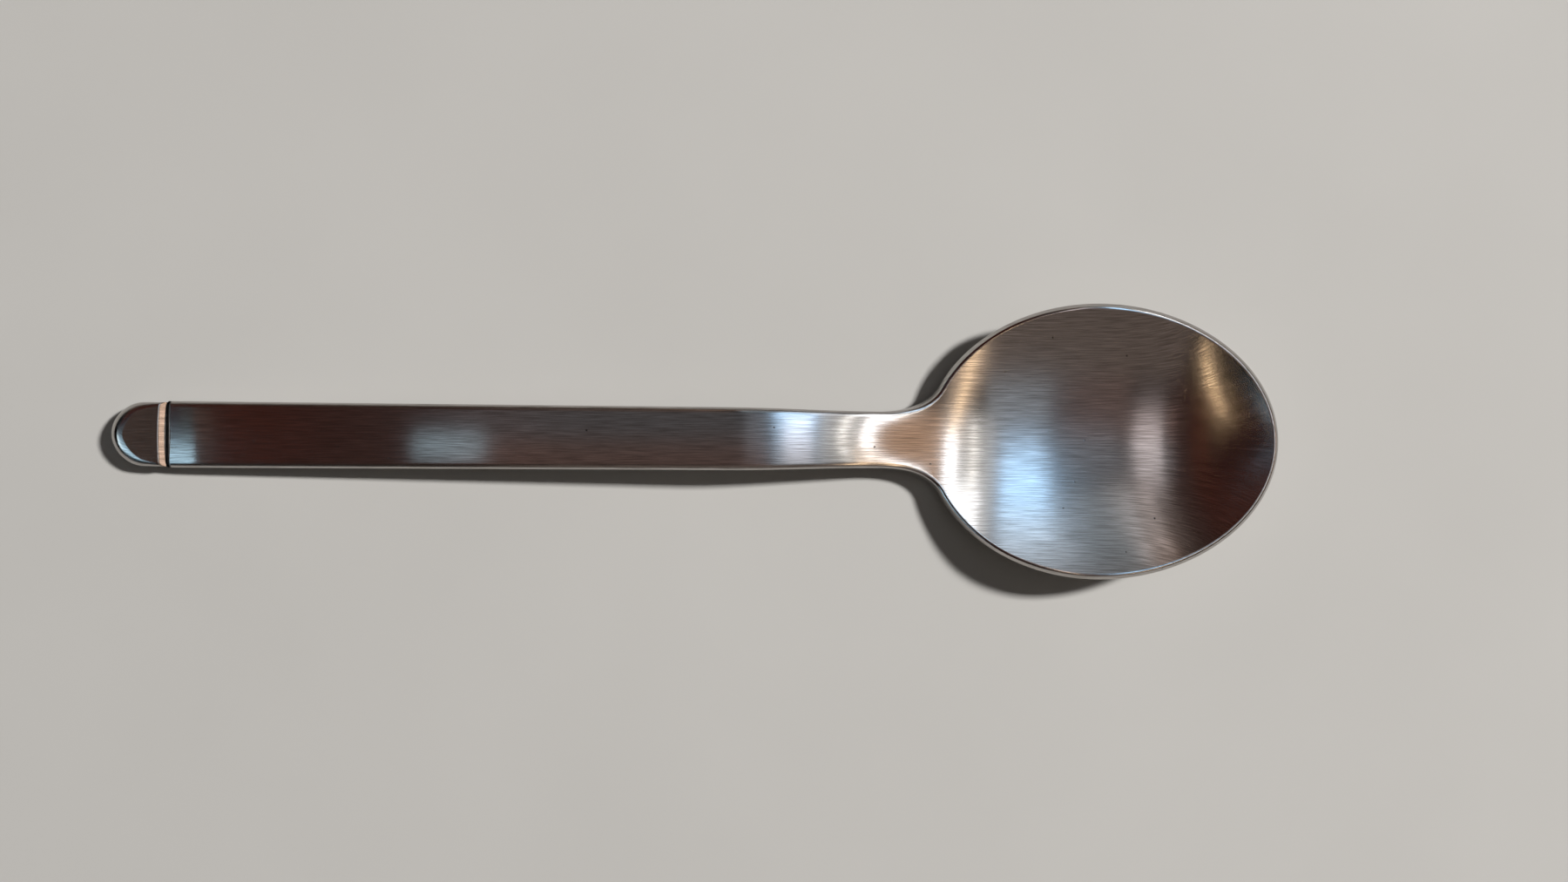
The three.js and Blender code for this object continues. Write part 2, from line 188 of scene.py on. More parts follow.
@dataclass(frozen=True)
class BrushedSteel:
    """Stainless steel finished with an abrasive belt that ran along the spoon.

    The belt leaves fine parallel lines. They keep reflections sharp along the spoon and smear them
    across it, so that lamps show as bands from side to side. Use adds short scratches and a few pits.
    """

    name: str
    tint: str = "cac6c3"
    furrow_tint: str = "9a9590"
    roughness: float = 0.17
    anisotropy: float = 0.9
    line_width: float = 0.12  # real belt lines are about 0.05 mm wide, too fine to show, so coarser here
    line_length: float = 4.0
    line_depth: float = 0.0009
    line_levels: Pair = (0.27, 0.73)  # noise in the darkest furrow and on the lightest crest
    line_dulling: float = 0.03  # roughness that a furrow adds and a crest takes away
    scratch_width: float = 0.12
    scratch_length: float = 3.4
    scratch_slant: float = 4.0  # degrees off the brushing
    scratch_levels: Pair = (0.64, 0.8)  # noise where a scratch begins and where it is full
    scratch_dulling: float = 0.06
    scratch_cut: float = 0.7  # depth of a scratch, as a multiple of a line's
    haze_size: float = 7.0  # patches worn a little smoother or duller in use
    haze_dulling: float = 0.04
    pit_spacing: float = 9.0
    pit_radius: float = 0.13
    pit_floor: float = 0.5  # share of a pit's radius that is flat
    pit_cut: float = 6.0  # depth of a pit, as a multiple of a line's
    noise_detail: float = 2.0
    noise_gain: float = 0.6
    # colour of the pits, and of the shade painted into the groove's corner
    pit_tone_and_corner_shade: str = "1a1512"
    corner_shade_x: float | None = None  # where the shade painted into a groove's corner from -X ends
    corner_shade_fade: float = 0.25
    corner_shade_dulling: float = 0.4

    def material(self) -> bpy.types.Material:
        """Builds the material.

        Returns:
            The new material.
        """
        made = bpy.data.materials.new(self.name)
        made.use_nodes = True
        tree = made.node_tree
        shader = tree.nodes["Principled BSDF"]
        uv = node(tree, "ShaderNodeUVMap", {"uv_map": UV_NAME}, {}).outputs["UV"]
        lines = self.streaks(tree, uv, self.line_width, self.line_length)
        crests = ranged(tree, lines, self.line_levels)
        scratched = self.streaks(tree, uv, self.scratch_width, self.scratch_length, self.scratch_slant)
        scratches = ranged(tree, scratched, self.scratch_levels)
        haze = self.streaks(tree, uv, self.haze_size, 2 * self.haze_size)
        pits = self.pits(tree, uv)

        shade = mixed(tree, crests, linear(self.furrow_tint), linear(self.tint))
        shade = mixed(tree, pits, shade, linear(self.pit_tone_and_corner_shade))
        extremes = (self.roughness + self.line_dulling, self.roughness - self.line_dulling)
        rough = ranged(tree, lines, (0.0, 1.0), extremes)
        rough = added(tree, rough, self.haze_dulling, haze)
        rough = added(tree, rough, self.scratch_dulling, scratches)
        # Painted shade in the groove's corner, with duller steel there.
        if self.corner_shade_x is not None:
            shade, rough = self.painted_corner_shade(tree, uv, shade, rough)
        relief = added(tree, lines, -self.scratch_cut, scratches)
        relief = added(tree, relief, -self.pit_cut, pits)
        depth = {"Distance": self.line_depth * MM, "Height": relief}
        bump = node(tree, "ShaderNodeBump", {}, depth).outputs["Normal"]
        by_map = {"direction_type": "UV_MAP", "uv_map": UV_NAME}
        across = node(tree, "ShaderNodeTangent", by_map, {}).outputs["Tangent"]

        surface = {"Base Color": shade, "Roughness": rough, "Normal": bump, "Tangent": across}
        for name, socket in surface.items():
            tree.links.new(socket, shader.inputs[name])
        shader.inputs["Metallic"].default_value = 1.0
        shader.inputs["Anisotropic"].default_value = self.anisotropy
        return made

    def painted_corner_shade(self, tree: Tree, uv: Socket, shade: Socket, rough: Socket) -> tuple[Socket, Socket]:
        """Paints shade into the groove's corner: darkens the steel there, and dulls it.

        Args:
            tree: the material's tree.
            uv: girth and length of the surface, in millimetres.
            shade: colour of the clean steel.
            rough: roughness of the clean steel.

        Returns:
            Colour and roughness with the painted shade.
        """
        length = node(tree, "ShaderNodeSeparateXYZ", {}, {"Vector": uv}).outputs["Y"]
        share = ranged(tree, length, (self.corner_shade_x - self.corner_shade_fade, self.corner_shade_x), (1.0, 0.0))
        return mixed(tree, share, shade, linear(self.pit_tone_and_corner_shade)), added(tree, rough, self.corner_shade_dulling, share)

    def streaks(self, tree: Tree, uv: Socket, width: float, length: float, slant: float = 0.0) -> Socket:
        """Adds noise drawn out along the brushing.

        Args:
            tree: the material's tree.
            uv: girth and length of the surface, in millimetres.
            width: size of a streak across the brushing, in millimetres.
            length: size along it.
            slant: turn of the streaks, in degrees.

        Returns:
            The noise, from 0 to 1.
        """
        turn = {"Vector": uv, "Rotation": (0.0, 0.0, math.radians(slant))}
        turned = node(tree, "ShaderNodeMapping", {}, turn).outputs["Vector"]
        scale = {"Vector": turned, "Scale": (1 / width, 1 / length, 1.0)}
        scaled = node(tree, "ShaderNodeMapping", {}, scale).outputs["Vector"]
        inputs = {"Vector": scaled, "Scale": 1.0, "Detail": self.noise_detail, "Roughness": self.noise_gain}
        return node(tree, "ShaderNodeTexNoise", {"noise_dimensions": "2D"}, inputs).outputs["Fac"]

    def pits(self, tree: Tree, uv: Socket) -> Socket:
        """Adds small scattered pits.

        Args:
            tree: the material's tree.
            uv: girth and length of the surface, in millimetres.

        Returns:
            1 in a pit and 0 around it.
        """
        inputs = {"Vector": uv, "Scale": 1 / self.pit_spacing}
        cells = node(tree, "ShaderNodeTexVoronoi", {"voronoi_dimensions": "2D"}, inputs).outputs["Distance"]
        size = self.pit_radius / self.pit_spacing
        return ranged(tree, cells, (self.pit_floor * size, size), (1.0, 0.0))


@dataclass(frozen=True)
class MattLaminate:
    """Matt laminate sheet, pressed against a fine-grained plate: an even pale field with faint clouding."""

    name: str = "matt_laminate_pressed"
    pale: str = "c6c3be"
    dim: str = "bdbab5"
    roughness: float = 0.85
    cloud_size: float = 40.0
    cloud_detail: float = 4.0

    def material(self) -> bpy.types.Material:
        """Builds the material.

        Returns:
            The new material.
        """
        made = bpy.data.materials.new(self.name)
        made.use_nodes = True
        tree = made.node_tree
        shader = tree.nodes["Principled BSDF"]
        place = node(tree, "ShaderNodeTexCoord", {}, {}).outputs["Object"]
        inputs = {"Vector": place, "Scale": 1 / (self.cloud_size * MM), "Detail": self.cloud_detail}
        cloud = node(tree, "ShaderNodeTexNoise", {}, inputs).outputs["Fac"]
        shade = mixed(tree, cloud, linear(self.dim), linear(self.pale))
        tree.links.new(shade, shader.inputs["Base Color"])
        shader.inputs["Roughness"].default_value = self.roughness
        return made


def riding_piece(mesh: Mesh, name: str, node_name: str) -> Object:
    """Turns a finished mesh into a piece that stands for a node of the frame.

    Args:
        mesh: the mesh, which is used up.
        name: name of the new piece.
        node_name: node that it replaces.

    Returns:
        The new object, smooth but for its sharp edges, riding on the frame.
    """
    for face in mesh.faces:
        face.smooth = True
    for edge in mesh.edges:
        if len(edge.link_faces) == 2 and edge.calc_face_angle(0.0) > math.radians(SHARP_EDGE):
            edge.smooth = False
    bmesh.ops.recalc_face_normals(mesh, faces=mesh.faces)
    data = bpy.data.meshes.new(name)
    mesh.to_mesh(data)
    mesh.free()
    piece = bpy.data.objects.new(name, data)
    bpy.context.scene.collection.objects.link(piece)
    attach(piece, "root")
    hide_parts(node_name)
    return piece


@dataclass(frozen=True)
class Station:
    """A place on the middle line where its height, slope and bend are known."""

    x: float
    height: float
    slope: float = 0.0
    bend: float = 0.0


@dataclass(frozen=True)
class PlanCurve:
    """A cubic or straight stretch of a piece's outline, seen from above."""

    points: tuple[Array | Pair, ...]

    def sample(self, u: Array) -> tuple[Array, Array]:
        """Places and outward normals along the stretch.

        Args:
            u: shares of the stretch, from 0 to 1.

        Returns:
            Points and unit normals, one row for each share.
        """
        p = np.array(self.points, float)
        u = u[:, None]
        if len(p) == 2:
            place = between(p[0], p[1], u)
            along = np.repeat(p[1:2] - p[0:1], len(u), axis=0)
        else:
            v = 1 - u
            place = v**3 * p[0] + 3 * v * v * u * p[1] + 3 * v * u * u * p[2] + u**3 * p[3]
            along = v * v * (p[1] - p[0]) + 2 * v * u * (p[2] - p[1]) + u * u * (p[3] - p[2])
        along = along / np.linalg.norm(along, axis=1, keepdims=True)
        return place, np.stack([-along[:, 1], along[:, 0]], axis=1)


@dataclass(frozen=True)
class PlanArc:
    """A stretch of an ellipse, seen from above, drawn from the greater angle to the lesser."""

    centre: float
    length: float
    half_width: float
    start: float
    end: float

    def sample(self, u: Array) -> tuple[Array, Array]:
        """Places and outward normals along the stretch.

        Args:
            u: shares of the stretch, from 0 to 1.

        Returns:
            Points and unit normals, one row for each share.
        """
        a = between(self.start, self.end, u)
        place = np.stack([self.centre + self.length * np.cos(a), self.half_width * np.sin(a)], axis=1)
        normal = np.stack([self.half_width * np.cos(a), self.length * np.sin(a)], axis=1)
        return place, normal / np.linalg.norm(normal, axis=1, keepdims=True)


@dataclass
class Piece:
    """A piece of the spoon, which stands for one node of the frame."""

    node_name: str
    piece_name: str
    slot: Slot
    finish: BrushedSteel

    def dress(self, piece: Object) -> None:
        """Gives the piece its finish."""
        piece.data.materials.append(self.finish.material())


@dataclass
class LoftedPiece(Piece):
    """A bar lofted along X from half sections that are mirrored in the plane y = 0.

    A section runs from the spine over the top face, round the two corners of the edge and back under.
    """

    columns: int = 44  # faces between the spine and the edge
    corner_steps: int = 9  # faces round one corner of the edge
    end_thickness: float = 2.9
    crown_height: float = 0.34  # fall of the top face from its middle to its sides
    upper_radius: float = 0.8
    lower_radius: float = 1.0
    groove_depth: float = 0.76
    groove_edge: float = 0.08  # rounding where the groove's wall meets the top
    joint_gap: float = 0.1
    dowel_diameter: float = 1.2
    dowel_spacing: float = 4.0
    dowel_clearance: float = 0.05
    dowel_depth: float = 3.2
    drill_sides: int = 32

    def base(self, x: Array, y: Array) -> Array:
        """Height of the top before its crown."""
        raise NotImplementedError

    def crown(self, x: Array, y: Array) -> Array:
        """How far the top falls below its base."""
        raise NotImplementedError

    def thickness(self, x: Array) -> Array:
        """Thickness of the metal."""
        raise NotImplementedError

    def radii(self, x: float) -> Pair:
        """Upper and lower radius of the edge."""
        raise NotImplementedError

    def plan(self) -> Plan:
        """Outline of one half, seen from above."""
        raise NotImplementedError

    def outline(self, stretches: list[tuple[PlanCurve | PlanArc, Array]], spine_length: float) -> Plan:
        """Joins stretches of the plan, of which the last is the arc round the piece's end.

        Args:
            stretches: curves, with the shares at which each is sampled.
            spine_length: length of the middle line inside the arc.

        Returns:
            The plan.
        """
        sampled = [curve.sample(u) for curve, u in stretches]
        edges = np.concatenate([place for place, _ in sampled])
        normals = np.concatenate([normal for _, normal in sampled])
        arc, u = stretches[-1]
        spines = np.concatenate([edges[: -len(u), 0], arc.centre + spine_length * u])
        return edges, normals, spines

    def placed(self, points: Array) -> Array:
        """Moves points from the piece's own place to the frame's."""
        return points

    def brushed(self, x: Array, y: Array) -> tuple[Array, Array]:
        """Places across and along the brush lines, which run straight along the piece."""
        return y, x

    @property
    def face_x(self) -> float:
        """Where the joint's end face is, in the piece's own place."""
        return 0.0

    @property
    def plumb_to(self) -> float:
        """Where the part ends whose thickness is measured straight down."""
        return math.inf

    def upward(self, x: Array, y: Array) -> Array:
        """Directions in which thickness is measured.

        They are plumb on the handle, which hardly slopes, and normals of the base surface past it.

        Args:
            x: places along the piece.
            y: places across it.

        Returns:
            One unit direction for each place.
        """
        h = SLOPE_STEP
        slope_x = (self.base(x + h, y) - self.base(x - h, y)) / (2 * h)
        slope_y = (self.base(x, y + h) - self.base(x, y - h)) / (2 * h)
        tilted = (x > self.plumb_to)[..., None]
        n = np.stack([-slope_x, -slope_y, np.ones_like(slope_x)], axis=-1)
        n = np.where(tilted, n, (0.0, 0.0, 1.0))
        return n / np.linalg.norm(n, axis=-1, keepdims=True)

    def edge_frame(self, x: float, y: float, normal: Array) -> tuple[Array, Array]:
        """Directions up from the surface and out of the edge.

        Args:
            x: place along the piece.
            y: place across it.
            normal: outward normal of the plan.

        Returns:
            The two unit directions.
        """
        up = self.upward(np.array([x]), np.array([y]))[0]
        along = np.array([normal[1], -normal[0], 0.0])
        lateral = along - up * (along @ up)
        out = np.cross(up, lateral)
        return up, out / np.linalg.norm(out)

    def half_section(self, edge: Array, normal: Array, spine: float) -> tuple[Array, Array]:
        """Points of one half section, with their girth from the middle of the top.

        The top face ends at a rim that lies far enough inside the outline for the edge's corners to
        just reach it. Both corners are then drawn square to the surface at the rim.

        Args:
            edge: outermost point in plan.
            normal: outward normal of the plan there.
            spine: place on the middle line.

        Returns:
            Points from the top's middle round to the underside's middle, and their girths.
        """
        upper, lower = self.radii(edge[0])
        outward = np.array([normal[0], normal[1], 0.0])
        up, out = self.edge_frame(edge[0], edge[1], normal)
        fall = float(self.crown(edge[0], edge[1]))
        wall = float(self.thickness(edge[0])) - fall
        reach = out @ outward
        inset = lower * (1 - reach) - (up @ outward) * (wall - lower) + upper * reach
        rim_x = edge[0] - normal[0] * inset
        rim_y = max(0.0, edge[1] - normal[1] * inset)
        up, out = self.edge_frame(rim_x, rim_y, normal)
        fall = float(self.crown(rim_x, rim_y))
        rim = np.array([rim_x, rim_y, float(self.base(rim_x, rim_y)) - fall])
        wall = float(self.thickness(rim_x)) - fall * up[2]
        foot_x = rim_x + out[0] * (upper - lower)
        foot_y = rim_y + out[1] * (upper - lower)

        share = np.sin(np.linspace(0, math.pi / 2, self.columns + 1))
        x = between(spine, rim_x, share)
        y = rim_y * share
        top = np.stack([x, y, self.base(x, y) - self.crown(x, y)], axis=1)
        x = between(spine, foot_x, share)
        y = foot_y * share
        under = np.stack([x, y, self.base(x, y)], axis=1)
        under = under - self.upward(x, y) * self.thickness(x)[:, None]
        turn = np.linspace(0, math.pi / 2, self.corner_steps + 1)[:, None]
        upper_arc = rim - up * upper + upper * (up * np.cos(turn) + out * np.sin(turn))
        lower_centre = rim - up * (wall - lower) + out * (upper - lower)
        lower_arc = lower_centre + lower * (out * np.cos(turn) - up * np.sin(turn))
        edge_points = np.concatenate([upper_arc[1:], lower_arc[:-1], under[-1:]])
        steps = np.diff(np.concatenate([top[-1:], edge_points]), axis=0)
        top_girth, _ = self.brushed(top[:, 0], top[:, 1])
        foot_girth, _ = self.brushed(under[:, 0], under[:, 1])
        edge_girth = top_girth[-1] + np.cumsum(np.linalg.norm(steps, axis=1))
        under_girth = edge_girth[-1] + foot_girth[-1] - foot_girth[::-1][1:]
        points = np.concatenate([top, edge_points, under[::-1][1:]])
        girth = np.concatenate([top_girth, edge_girth, under_girth])

        # The groove's wall rises at 45 degrees from the end face and cuts off what stands above it.
        wall_height = self.end_thickness - self.groove_depth + points[:, 0] - self.face_x
        points[:, 2] = soft_least(points[:, 2], wall_height, self.groove_edge)
        return points, girth

    def build(self) -> Object:
        """Lofts the skin, closes its end face round the pin holes and sets its girth map.

        Returns:
            The new object, riding on the frame in place of its solid.
        """
        edges, normals, spines = self.plan()
        halves = [self.half_section(e, n, s) for e, n, s in zip(edges, normals, spines)]
        # The last section lies on the plane of symmetry, where both halves meet.
        halves[-1][0][:, 1] = 0.0
        count = len(halves[0][0])
        mesh = bmesh.new()
        girths: Girths = {}
        rings = []
        for index, (points, girth) in enumerate(halves):
            left = [self.vertex(mesh, girths, p, g) for p, g in zip(points, girth)]
            right = list(left)
            if index < len(halves) - 1:
                for k in range(1, count - 1):
                    mirrored = points[k] * (1, -1, 1)
                    right[k] = self.vertex(mesh, girths, mirrored, -girth[k])
            rings.append((left, right))
        full_girth = 2 * float(max(girth[-1] for _, girth in halves))
        layer = mesh.loops.layers.uv.new(UV_NAME)
        for (left, right), (next_left, next_right) in zip(rings, rings[1:]):
            for k in range(count - 1):
                self.quad(mesh, [left[k], next_left[k], next_left[k + 1], left[k + 1]])
                self.quad(mesh, [right[k], right[k + 1], next_right[k + 1], next_right[k]])
        self.close_end(mesh, girths, rings[0])
        # A face where the halves meet can have girths of both signs. Its map then runs on round the
        # section and not back over the top.
        for face in mesh.faces:
            sides = [girths[loop.vert][0] for loop in face.loops]
            crosses = max(sides) - min(sides) > full_girth / 4
            for loop in face.loops:
                girth, x = girths[loop.vert]
                if crosses and girth < 0:
                    girth += full_girth
                loop[layer].uv = (girth, x)
        return riding_piece(mesh, self.piece_name, self.node_name)

    def vertex(self, mesh: Mesh, girths: Girths, point: Array, girth: float) -> Vert:
        """Adds a vertex and notes its place on the girth map.

        Args:
            mesh: the mesh that it goes in.
            girths: girth and length of each vertex.
            point: its place, in the piece's own millimetres.
            girth: its distance round the section.

        Returns:
            The new vertex.
        """
        spot = self.placed(np.asarray(point, float))
        _, along = self.brushed(point[0], point[1])
        made = mesh.verts.new(Vector(spot * MM))
        girths[made] = (float(girth), float(spot[0] + along - point[0]))
        return made

    def quad(self, mesh: Mesh, corners: list[Vert]) -> None:
        """Adds a face, as a triangle where two corners are one."""
        corners = list(dict.fromkeys(corners))
        if len(corners) > 2:
            mesh.faces.new(corners)

    def close_end(self, mesh: Mesh, girths: Girths, ring: tuple[list[Vert], list[Vert]]) -> None:
        """Closes the flat joint face and drills the two blind holes for the pins.

        Args:
            mesh: the lofted mesh, open at the joint.
            girths: girth and length of each vertex.
            ring: left and right halves of the open section.
        """
        left, right = ring
        loop = left + right[-2:0:-1]
        border = [mesh.edges.get((a, b)) for a, b in zip(loop, loop[1:] + loop[:1])]
        radius = self.dowel_diameter / 2 + self.dowel_clearance
        height = (self.end_thickness - self.groove_depth) / 2
        for side in (1, -1):
            circles = []
            for depth in (0.0, self.dowel_depth):
                turns = np.linspace(0, 2 * math.pi, self.drill_sides, endpoint=False)
                y = side * self.dowel_spacing / 2 + radius * np.cos(turns)
                z = height + radius * np.sin(turns)
                x = np.full_like(y, self.face_x + depth)
                spots = np.stack([x, y, z], axis=1)
                circles.append([self.vertex(mesh, girths, p, p[1]) for p in spots])
            mouth, bottom = circles
            for k in range(self.drill_sides):
                after = (k + 1) % self.drill_sides
                mesh.faces.new([mouth[k], bottom[k], bottom[after], mouth[after]])
                border.append(mesh.edges.get((mouth[k], mouth[after])))
            mesh.faces.new(bottom)
        bmesh.ops.triangle_fill(mesh, use_beauty=True, edges=border)


@dataclass
class SpoonBody(LoftedPiece):
    """Bowl, neck and handle, forged from one blank.

    Setbacks are measured from the bowl's widest place towards the handle. A run is the length over
    which one size passes into the next.
    """

    overall_length: float = 138.0
    bowl_width: float = 32.19
    bowl_tip_length: float = 20.9
    bowl_heel_length: float = 19.8
    bowl_wall: float = 1.05
    bowl_side_rise: float = 6.4
    bowl_tip_rise: float = 7.1
    bowl_tip_slope: float = 0.64
    bowl_tip_bend: float = 0.011
    bowl_floor_bend: float = 0.017
    floor_setback: float = 6.6
    rim_upper_radius: float = 0.3
    rim_lower_radius: float = 0.25
    neck_width: float = 6.7
    neck_thickness: float = 2.5
    neck_setback: float = 25.8
    throat_setback: float = 21.6
    throat_height: float = 3.15
    throat_slope: float = -0.28
    flare_angle: float = 66.0
    flare_reach: float = 4.2
    flare_return: float = 2.2
    hollow_run: float = 7.0
    thinning_run: float = 16.2
    edge_lead: float = 4.0
    edge_run: float = 18.0
    crest_setback: float = 41.6
    crest_height: float = 6.1
    crest_bend: float = -0.025
    ramp_setback: float = 54.1
    ramp_height: float = 5.56
    shank_setback: float = 43.1
    shank_width: float = 7.4
    handle_width: float = 7.95
    waist_lead: float = 6.0
    crown_fade: float = 6.0
    rest_length: float = 5.0
    roll_length: float = 4.2
    roll_depth: float = 0.3
    cap_length: float = 7.0
    bowl_spine: float = 0.5  # share of the tip length that the bowl's middle line takes up
    line_fan: float = 0.13  # how fast the brush lines spread at the tip, for each mm
    rows_groove: int = 40
    rows_handle: int = 110
    rows_waist: int = 44
    rows_flare: int = 36
    rows_heel: int = 50
    rows_tip: int = 90
    stations: list[Station] = field(init=False)

    def __post_init__(self) -> None:
        """Places the stations of the middle line."""
        self.x_tip = self.overall_length / 2
        self.x_bowl = self.x_tip - self.bowl_tip_length
        self.x_neck = self.x_bowl - self.neck_setback
        self.x_crest = self.x_bowl - self.crest_setback
        self.x_joint = self.cap_length - self.x_tip
        self.x_rest = self.x_joint + self.rest_length
        x_floor = self.x_bowl - self.floor_setback
        x_throat = self.x_bowl - self.throat_setback
        x_ramp = self.x_bowl - self.ramp_setback
        rise = (self.ramp_height - self.end_thickness) / (x_ramp - self.x_joint)
        tip_height = self.bowl_wall + self.bowl_tip_rise
        self.stations = [
            Station(self.x_joint, self.end_thickness, rise),
            Station(x_ramp, self.ramp_height, rise),
            Station(self.x_crest, self.crest_height, 0.0, self.crest_bend),
            Station(x_throat, self.throat_height, self.throat_slope),
            Station(x_floor, self.bowl_wall, 0.0, self.bowl_floor_bend),
            Station(self.x_tip, tip_height, self.bowl_tip_slope, self.bowl_tip_bend),
        ]

    def brushed(self, x: Array, y: Array) -> tuple[Array, Array]:
        """Places across and along the brush lines, which fan out towards the bowl's tip.

        Real lines fan out less. This bowl curves more simply across than a real one, and with
        straight lines the streak of light at its tip would be too broad.

        Args:
            x: places along the spoon.
            y: places across it.

        Returns:
            Distance across the lines and distance along them.
        """
        tip_share = np.clip((x - self.x_bowl) / self.bowl_tip_length, 0, 1)
        fan = self.line_fan * tip_share**2
        narrowing = np.exp(-fan * tip_share * self.bowl_tip_length / 3)
        return y * narrowing, x + fan * y**2 / 2

    @property
    def face_x(self) -> float:
        """Where the joint's end face is."""
        return self.x_joint + self.joint_gap / 2

    @property
    def plumb_to(self) -> float:
        """The crest, where the handle ends."""
        return self.x_crest

    def middle(self, x: Array) -> Array:
        """Height of the middle line.

        Args:
            x: places along the spoon.

        Returns:
            Heights, on quintic stretches between the stations.
        """
        x = np.asarray(x, float)
        height = np.full(x.shape, self.end_thickness)
        for a, b in zip(self.stations, self.stations[1:]):
            run = b.x - a.x
            s = (x - a.x) / run
            s2, s3, s4, s5 = s**2, s**3, s**4, s**5
            stretch = (
                a.height * (1 - 10 * s3 + 15 * s4 - 6 * s5)
                + run * a.slope * (s - 6 * s3 + 8 * s4 - 3 * s5)
                + run * run * a.bend * (0.5 * s2 - 1.5 * s3 + 1.5 * s4 - 0.5 * s5)
                + run * run * b.bend * (0.5 * s3 - s4 + 0.5 * s5)
                + run * b.slope * (-4 * s3 + 7 * s4 - 3 * s5)
                + b.height * (10 * s3 - 15 * s4 + 6 * s5)
            )
            height = np.where(x > a.x, stretch, height)
        return height

    def base(self, x: Array, y: Array) -> Array:
        """Height of the top: the middle line and the bowl's hollow across it."""
        full = self.bowl_side_rise / (self.bowl_width / 2) ** 2
        return self.middle(x) + full * smoothstep(self.x_neck, self.x_neck + self.hollow_run, x) * y * y

    def crown(self, x: Array, y: Array) -> Array:
        """Fall of the handle's top towards its sides and into the groove.

        Args:
            x: places along the spoon.
            y: places across it.

        Returns:
            How far the top falls below its base.
        """
        on_handle = 1 - smoothstep(self.x_neck - self.crown_fade, self.x_neck + self.crown_fade, x)
        roll = np.maximum(0.0, 1 - (x - self.face_x) / self.roll_length)
        return self.crown_height * on_handle * (2 * y / self.handle_width) ** 2 + self.roll_depth * roll**2

    def thickness(self, x: Array) -> Array:
        """Thickness of the metal.

        Args:
            x: places along the spoon.

        Returns:
            Thicknesses: down to the flat rest, then less and less to the bowl's wall.
        """
        rested = self.middle(np.minimum(x, self.x_rest))
        bar = between(rested, self.neck_thickness, smoothstep(self.x_rest, self.x_crest, x))
        in_bowl = smoothstep(self.x_neck, self.x_neck + self.thinning_run, x)
        return between(bar, self.bowl_wall, in_bowl)

    def radii(self, x: float) -> Pair:
        """Radii of the edge, from the handle's to the rim's.

        Args:
            x: place along the spoon.

        Returns:
            Upper and lower radius.
        """
        start = self.x_neck - self.edge_lead
        share = float(smoothstep(start, start + self.edge_run, x))
        upper = between(self.upper_radius, self.rim_upper_radius, share)
        return upper, between(self.lower_radius, self.rim_lower_radius, share)

    def plan(self) -> Plan:
        """Outline of the left half, from the joint round to the bowl's tip.

        Returns:
            The plan.
        """
        end = np.array([self.face_x, self.handle_width / 2])
        shank = np.array([self.x_bowl - self.shank_setback, self.shank_width / 2])
        neck = np.array([self.x_neck, self.neck_width / 2])
        taper = (shank - end) / np.linalg.norm(shank - end)
        angle = math.radians(self.flare_angle)
        half = self.bowl_width / 2
        meet = np.array([self.x_bowl - self.bowl_heel_length * math.sin(angle), half * math.cos(angle)])
        arrival = np.array([self.bowl_heel_length * math.cos(angle), half * math.sin(angle)])
        arrival = arrival / np.linalg.norm(arrival) * self.flare_return
        lead = np.array([self.waist_lead, 0.0])
        reach = np.array([self.flare_reach, 0.0])
        handle = PlanCurve((end, shank))
        waist = PlanCurve((shank, shank + taper * self.waist_lead, neck - lead, neck))
        flare = PlanCurve((neck, neck + reach, meet - arrival, meet))
        side = math.pi / 2
        heel = PlanArc(self.x_bowl, self.bowl_heel_length, half, side + angle, side)
        tip = PlanArc(self.x_bowl, self.bowl_tip_length, half, side, 0.0)

        # Rows stand closer over the groove's wall and as far again past it.
        groove_share = 2 * self.groove_depth / (shank[0] - end[0])
        near = np.linspace(0, groove_share, self.rows_groove)
        far = np.linspace(groove_share, 1, self.rows_handle)[1:]
        stretches = [
            (handle, np.concatenate([near, far])),
            (waist, np.linspace(0, 1, self.rows_waist)[1:]),
            (flare, np.linspace(0, 1, self.rows_flare)[1:]),
            (heel, np.linspace(0, 1, self.rows_heel)[1:]),
            (tip, np.linspace(0, 1, self.rows_tip)[1:]),
        ]
        return self.outline(stretches, self.bowl_spine * self.bowl_tip_length)


@dataclass
class EndCap(LoftedPiece):
    """Rounded end of the handle, drawn from the joint outwards and turned to point along -X."""

    crown_height: float = 0.12
    upper_radius: float = 0.5
    width: float = 7.65
    length: float = 6.95
    nose_length: float = 4.2
    nose_upper_radius: float = 2.0
    nose_lower_radius: float = 0.8
    nose_spine: float = 0.3  # share of the nose length that the nose's middle line takes up
    joint_x: float = -62.05
    rows_side: int = 56
    rows_nose: int = 60

    def base(self, x: Array, y: Array) -> Array:
        """Height of the level top."""
        return np.full(np.broadcast(x, y).shape, self.end_thickness)

    def crown(self, x: Array, y: Array) -> Array:
        """Fall of the top towards its sides."""
        return self.crown_height * (2 * y / self.width) ** 2

    def thickness(self, x: Array) -> Array:
        """Thickness of the metal, the same all along."""
        return np.full(np.shape(x), self.end_thickness)

    def radii(self, x: float) -> Pair:
        """Radii of the edge, from the handle's to the nose's.

        Args:
            x: place along the cap.

        Returns:
            Upper and lower radius.
        """
        share = float(smoothstep(0.0, self.length, x))
        upper = between(self.upper_radius, self.nose_upper_radius, share)
        return upper, between(self.lower_radius, self.nose_lower_radius, share)

    def plan(self) -> Plan:
        """Outline of one half, from the joint out to the nose.

        Returns:
            The plan.
        """
        half = self.width / 2
        start = self.length - self.nose_length
        side = PlanCurve(((0.0, half), (start, half)))
        nose = PlanArc(start, self.nose_length, half, math.pi / 2, 0.0)
        stretches = [
            (side, np.linspace(0, 1, self.rows_side)),
            (nose, np.linspace(0, 1, self.rows_nose)[1:]),
        ]
        return self.outline(stretches, self.nose_spine * self.nose_length)

    def placed(self, points: Array) -> Array:
        """Turns the cap half round and sets it against the joint."""
        return points * (-1, -1, 1) + np.array([self.joint_x, 0.0, 0.0])


